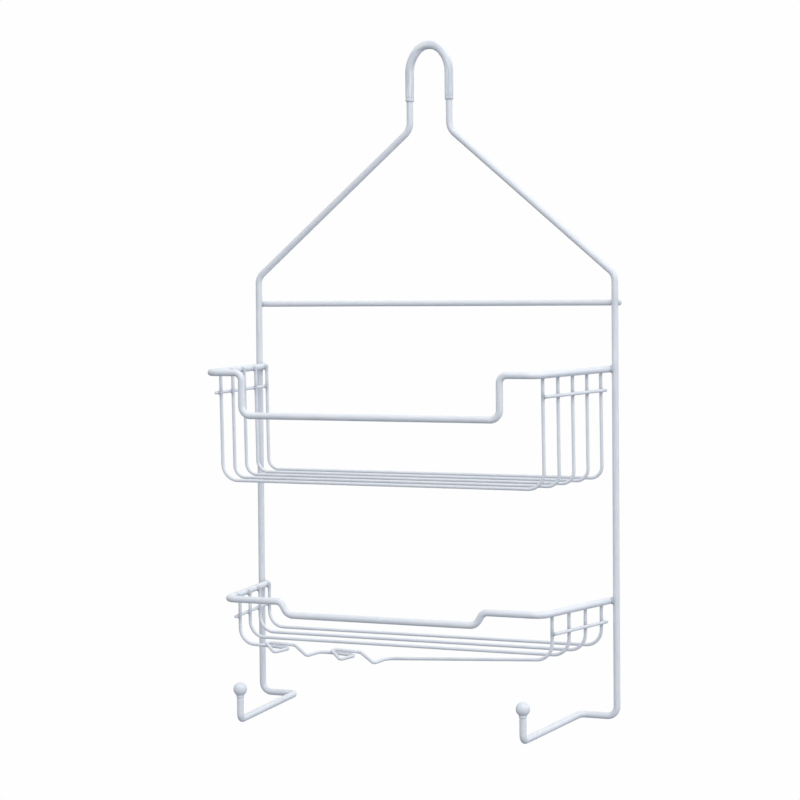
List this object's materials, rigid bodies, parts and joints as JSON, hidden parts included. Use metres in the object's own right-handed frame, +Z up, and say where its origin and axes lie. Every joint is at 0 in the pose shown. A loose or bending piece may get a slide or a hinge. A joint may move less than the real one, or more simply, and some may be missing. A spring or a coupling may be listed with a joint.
{
  "type": "shower caddy",
  "caption": "Hanging shower caddy of coated wire, with a sleeved hook loop, two wire baskets, razor loops, a crossbar and ball-tipped lower hooks.",
  "frame": {"origin": "top of the inside of the hook loop, where the shower arm bears on the sleeve", "axes": "+X the caddy's right seen from the front, +Z up, the front faces -Y"},
  "size_m": [0.2974, 0.1274, 0.5028],
  "materials": {
    "coated_wire": "glossy white vinyl coat dipped over steel wire",
    "sleeve_vinyl": "soft cloudy white vinyl tube",
    "cap_plastic": "glossy white plastic"
  },
  "bodies": {
    "root": {"main_frame": "coated_wire", "hook_sleeve": "sleeve_vinyl", "ball_tip_left": "cap_plastic", "ball_tip_right": "cap_plastic", "crossbar": "coated_wire", "upper_rim": "coated_wire", "upper_wire_1": "coated_wire", "upper_wire_2": "coated_wire", "upper_wire_3": "coated_wire", "upper_wire_4": "coated_wire", "upper_wire_5": "coated_wire", "upper_brace_left": "coated_wire", "upper_brace_right": "coated_wire", "lower_rim": "coated_wire", "lower_wire_1": "coated_wire", "lower_wire_2": "coated_wire", "lower_wire_3": "coated_wire", "lower_wire_4": "coated_wire", "lower_brace_left": "coated_wire", "lower_brace_right": "coated_wire"}
  },
  "joints": []
}
